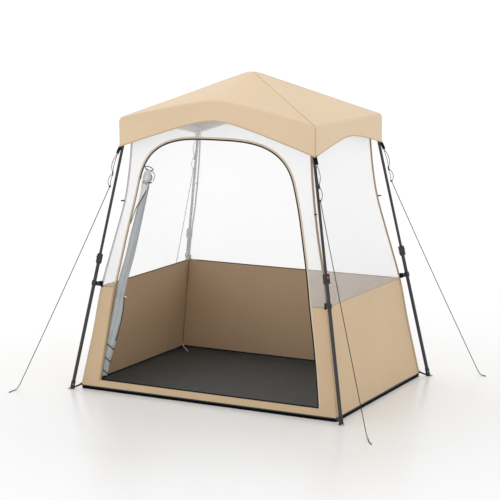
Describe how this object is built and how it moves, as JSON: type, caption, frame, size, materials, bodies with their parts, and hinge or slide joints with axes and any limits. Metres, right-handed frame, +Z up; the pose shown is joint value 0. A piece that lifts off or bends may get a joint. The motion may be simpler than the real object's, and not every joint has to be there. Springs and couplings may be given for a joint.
{
  "type": "screen house",
  "caption": "Pop-up screen house: hub-and-rib folding frame, splayed telescopic legs, arched canopy, mesh walls above fabric panels, open arched door, floor tray and guy lines.",
  "frame": {"origin": "on the ground under the middle of the floor, at the floor's underside", "axes": "+Z up, +X to the right seen from the front, the door faces -Y"},
  "size_m": [2.712, 2.0085, 2.15],
  "materials": {
    "frame_steel": "satin dark grey powder coat on steel tube",
    "fitting_plastic": "moulded black nylon",
    "pin_steel": "zinc plated",
    "button_red": "moulded red plastic",
    "canopy_cloth": "coated polyester, sand, silver-grey underside",
    "wall_cloth": "coated polyester, tan",
    "screen_mesh": "fine white insect mesh",
    "floor_sheet": "woven dark grey groundsheet",
    "trim_cloth": "tan piping tape",
    "cord": "braided dark grey cord"
  },
  "bodies": {
    "tent_body": {"screen_walls": "screen_mesh", "lower_walls": "wall_cloth", "floor_sheet": "floor_sheet", "door_trim": "trim_cloth", "door_roll": "screen_mesh"},
    "hub": {"hub": "fitting_plastic", "hub_cap": "fitting_plastic", "canopy": "canopy_cloth", "hub_pin_front_left": "pin_steel", "hub_pin_front_right": "pin_steel", "hub_pin_back_right": "pin_steel", "hub_pin_back_left": "pin_steel"},
    "rib_front_left": {"rib_front_left": "frame_steel"},
    "leg_front_left": {"elbow_front_left": "fitting_plastic", "elbow_pin_front_left": "pin_steel", "upper_leg_front_left": "frame_steel", "leg_clip_front_left": "fitting_plastic", "guy_line_front_left": "cord"},
    "lower_leg_front_left": {"lower_leg_front_left": "frame_steel", "lock_collar_front_left": "fitting_plastic", "foot_front_left": "fitting_plastic"},
    "lock_button_front_left": {"lock_button_front_left": "button_red"},
    "guy_slider_front_left": {"guy_slider_front_left": "fitting_plastic"},
    "rib_front_right": {"rib_front_right": "frame_steel"},
    "leg_front_right": {"elbow_front_right": "fitting_plastic", "elbow_pin_front_right": "pin_steel", "upper_leg_front_right": "frame_steel", "leg_clip_front_right": "fitting_plastic", "guy_line_front_right": "cord"},
    "lower_leg_front_right": {"lower_leg_front_right": "frame_steel", "lock_collar_front_right": "fitting_plastic", "foot_front_right": "fitting_plastic"},
    "lock_button_front_right": {"lock_button_front_right": "button_red"},
    "guy_slider_front_right": {"guy_slider_front_right": "fitting_plastic"},
    "rib_back_right": {"rib_back_right": "frame_steel"},
    "leg_back_right": {"elbow_back_right": "fitting_plastic", "elbow_pin_back_right": "pin_steel", "upper_leg_back_right": "frame_steel", "leg_clip_back_right": "fitting_plastic", "guy_line_back_right": "cord"},
    "lower_leg_back_right": {"lower_leg_back_right": "frame_steel", "lock_collar_back_right": "fitting_plastic", "foot_back_right": "fitting_plastic"},
    "lock_button_back_right": {"lock_button_back_right": "button_red"},
    "guy_slider_back_right": {"guy_slider_back_right": "fitting_plastic"},
    "rib_back_left": {"rib_back_left": "frame_steel"},
    "leg_back_left": {"elbow_back_left": "fitting_plastic", "elbow_pin_back_left": "pin_steel", "upper_leg_back_left": "frame_steel", "leg_clip_back_left": "fitting_plastic", "guy_line_back_left": "cord"},
    "lower_leg_back_left": {"lower_leg_back_left": "frame_steel", "lock_collar_back_left": "fitting_plastic", "foot_back_left": "fitting_plastic"},
    "lock_button_back_left": {"lock_button_back_left": "button_red"},
    "guy_slider_back_left": {"guy_slider_back_left": "fitting_plastic"}
  },
  "joints": [
    {"name": "hub_lift", "type": "slide", "parent": "tent_body", "child": "hub", "axis": [0, 0, -1], "range_m": [0, 0.96], "deforming": ["screen_walls", "lower_walls", "door_trim", "door_roll", "canopy", "guy_line_front_left", "guy_line_front_right", "guy_line_back_right", "guy_line_back_left"]},
    {"name": "rib_fold_front_left", "type": "hinge", "parent": "hub", "child": "rib_front_left", "pos_m": [-0.04471, -0.03203, 2.1], "axis": [-0.5823, 0.813, 0], "range_deg": [0, 103.58]},
    {"name": "elbow_fold_front_left", "type": "hinge", "parent": "rib_front_left", "child": "leg_front_left", "pos_m": [-0.65586, -0.46975, 1.83342], "axis": [-0.5823, 0.813, 0], "range_deg": [-116.26, 0]},
    {"name": "leg_slide_front_left", "type": "slide", "parent": "leg_front_left", "child": "lower_leg_front_left", "axis": [0.1785, 0.1278, 0.9756], "range_m": [0, 0.65]},
    {"name": "button_press_front_left", "type": "slide", "parent": "lower_leg_front_left", "child": "lock_button_front_left", "axis": [0.7932, 0.5681, -0.2195], "range_m": [0, 0.003]},
    {"name": "guy_tension_front_left", "type": "slide", "parent": "leg_front_left", "child": "guy_slider_front_left", "axis": [-0.2001, -0.1227, -0.9721], "range_m": [-0.11, 0.06]},
    {"name": "rib_fold_front_right", "type": "hinge", "parent": "hub", "child": "rib_front_right", "pos_m": [0.04471, -0.03203, 2.1], "axis": [-0.5823, -0.813, 0], "range_deg": [0, 103.58]},
    {"name": "elbow_fold_front_right", "type": "hinge", "parent": "rib_front_right", "child": "leg_front_right", "pos_m": [0.65586, -0.46975, 1.83342], "axis": [-0.5823, -0.813, 0], "range_deg": [-116.26, 0]},
    {"name": "leg_slide_front_right", "type": "slide", "parent": "leg_front_right", "child": "lower_leg_front_right", "axis": [-0.1785, 0.1278, 0.9756], "range_m": [0, 0.65]},
    {"name": "button_press_front_right", "type": "slide", "parent": "lower_leg_front_right", "child": "lock_button_front_right", "axis": [-0.7932, 0.5681, -0.2195], "range_m": [0, 0.003]},
    {"name": "guy_tension_front_right", "type": "slide", "parent": "leg_front_right", "child": "guy_slider_front_right", "axis": [0.1754, -0.1223, -0.9769], "range_m": [-0.11, 0.06]},
    {"name": "rib_fold_back_right", "type": "hinge", "parent": "hub", "child": "rib_back_right", "pos_m": [0.04471, 0.03203, 2.1], "axis": [0.5823, -0.813, 0], "range_deg": [0, 103.58]},
    {"name": "elbow_fold_back_right", "type": "hinge", "parent": "rib_back_right", "child": "leg_back_right", "pos_m": [0.65586, 0.46975, 1.83342], "axis": [0.5823, -0.813, 0], "range_deg": [-116.26, 0]},
    {"name": "leg_slide_back_right", "type": "slide", "parent": "leg_back_right", "child": "lower_leg_back_right", "axis": [-0.1785, -0.1278, 0.9756], "range_m": [0, 0.65]},
    {"name": "button_press_back_right", "type": "slide", "parent": "lower_leg_back_right", "child": "lock_button_back_right", "axis": [-0.7932, -0.5681, -0.2195], "range_m": [0, 0.003]},
    {"name": "guy_tension_back_right", "type": "slide", "parent": "leg_back_right", "child": "guy_slider_back_right", "axis": [0.1913, 0.1378, -0.9718], "range_m": [-0.11, 0.06]},
    {"name": "rib_fold_back_left", "type": "hinge", "parent": "hub", "child": "rib_back_left", "pos_m": [-0.04471, 0.03203, 2.1], "axis": [0.5823, 0.813, 0], "range_deg": [0, 103.58]},
    {"name": "elbow_fold_back_left", "type": "hinge", "parent": "rib_back_left", "child": "leg_back_left", "pos_m": [-0.65586, 0.46975, 1.83342], "axis": [0.5823, 0.813, 0], "range_deg": [-116.26, 0]},
    {"name": "leg_slide_back_left", "type": "slide", "parent": "leg_back_left", "child": "lower_leg_back_left", "axis": [0.1785, -0.1278, 0.9756], "range_m": [0, 0.65]},
    {"name": "button_press_back_left", "type": "slide", "parent": "lower_leg_back_left", "child": "lock_button_back_left", "axis": [0.7932, -0.5681, -0.2195], "range_m": [0, 0.003]},
    {"name": "guy_tension_back_left", "type": "slide", "parent": "leg_back_left", "child": "guy_slider_back_left", "axis": [-0.178, 0.1249, -0.9761], "range_m": [-0.11, 0.06]}
  ],
  "couplings": [
    {"joint": "rib_fold_front_left", "follows": "hub_lift", "rad_per_m": 1.8822},
    {"joint": "elbow_fold_front_left", "follows": "hub_lift", "rad_per_m": -2.1127},
    {"joint": "rib_fold_front_right", "follows": "hub_lift", "rad_per_m": 1.8822},
    {"joint": "elbow_fold_front_right", "follows": "hub_lift", "rad_per_m": -2.1127},
    {"joint": "rib_fold_back_right", "follows": "hub_lift", "rad_per_m": 1.8822},
    {"joint": "elbow_fold_back_right", "follows": "hub_lift", "rad_per_m": -2.1127},
    {"joint": "rib_fold_back_left", "follows": "hub_lift", "rad_per_m": 1.8822},
    {"joint": "elbow_fold_back_left", "follows": "hub_lift", "rad_per_m": -2.1127}
  ]
}
